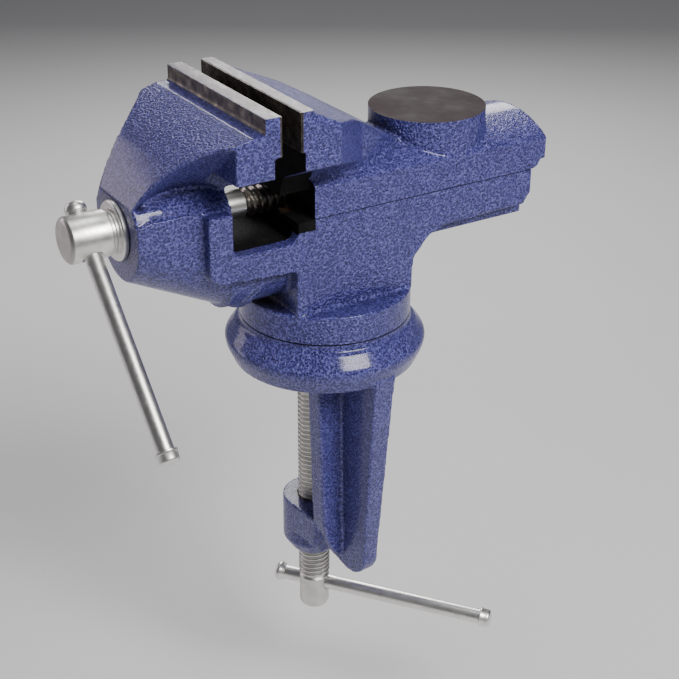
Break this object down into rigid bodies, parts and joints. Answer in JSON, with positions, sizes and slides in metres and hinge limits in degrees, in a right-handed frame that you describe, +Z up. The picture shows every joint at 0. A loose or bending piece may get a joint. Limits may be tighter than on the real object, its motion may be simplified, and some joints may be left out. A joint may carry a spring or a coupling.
{
  "type": "bench vise",
  "caption": "Small clamp-on bench vise with a swivel base, a screw-driven sliding rear jaw, a round anvil and sliding tommy bars.",
  "frame": {"origin": "centre of the bench seat, the flat underside of the clamp flange, on the swivel axis", "axes": "+X along the spindle towards the anvil, +Y across the jaws, +Z up"},
  "size_m": [0.1823, 0.0963, 0.2305],
  "materials": {
    "paint": "hammertone blue-violet enamel on cast iron, semi-gloss",
    "steel": "bright zinc-plated steel",
    "dark_steel": "dark spring steel",
    "nut": "turned bronze"
  },
  "bodies": {
    "base": {"clamp_frame": "paint", "swivel_bolt": "steel", "swivel_spring_washer": "steel", "swivel_washer": "steel"},
    "vise": {"vise_body": "paint"},
    "jaw": {"sliding_jaw": "paint", "spindle_nut": "nut", "nut_pins": "steel"},
    "spindle": {"spindle_screw": "steel", "spindle_flange": "steel", "thrust_washer": "steel", "spindle_clip": "dark_steel"},
    "spindle_handle": {"spindle_bar": "steel", "spindle_bar_caps": "steel"},
    "pad": {"pressure_pad": "steel"},
    "clamp": {"clamp_screw": "steel", "pad_clip": "dark_steel"},
    "clamp_handle": {"clamp_bar": "steel", "clamp_bar_caps": "steel"}
  },
  "joints": [
    {"name": "swivel", "type": "hinge", "parent": "base", "child": "vise", "pos_m": [0, 0, 0.018], "axis": [0, 0, 1], "continuous": true},
    {"name": "jaw_slide", "type": "slide", "parent": "vise", "child": "jaw", "axis": [1, 0, 0], "range_m": [-0.007, 0.043]},
    {"name": "spindle_turn", "type": "hinge", "parent": "vise", "child": "spindle", "pos_m": [-0.09, 0, 0.0665], "axis": [1, 0, 0], "range_deg": [-5161, 841]},
    {"name": "spindle_bar_slide", "type": "slide", "parent": "spindle", "child": "spindle_handle", "axis": [0, 0.7071, 0.7071], "range_m": [0, 0.0678]},
    {"name": "clamp_travel", "type": "slide", "parent": "base", "child": "pad", "axis": [0, 0, 1], "range_m": [-0.049, 0.0085]},
    {"name": "clamp_turn", "type": "hinge", "parent": "pad", "child": "clamp", "pos_m": [-0.00079, 0.00696, -0.1], "axis": [0, 0, 1], "range_deg": [-8821, 1531]},
    {"name": "clamp_bar_slide", "type": "slide", "parent": "clamp", "child": "clamp_handle", "axis": [-0.6115, 0.7912, 0], "range_m": [-0.0061, 0.065]}
  ],
  "couplings": [
    {"joint": "spindle_turn", "follows": "jaw_slide", "rad_per_m": -2094.4},
    {"joint": "clamp_turn", "follows": "clamp_travel", "rad_per_m": 3141.6}
  ]
}
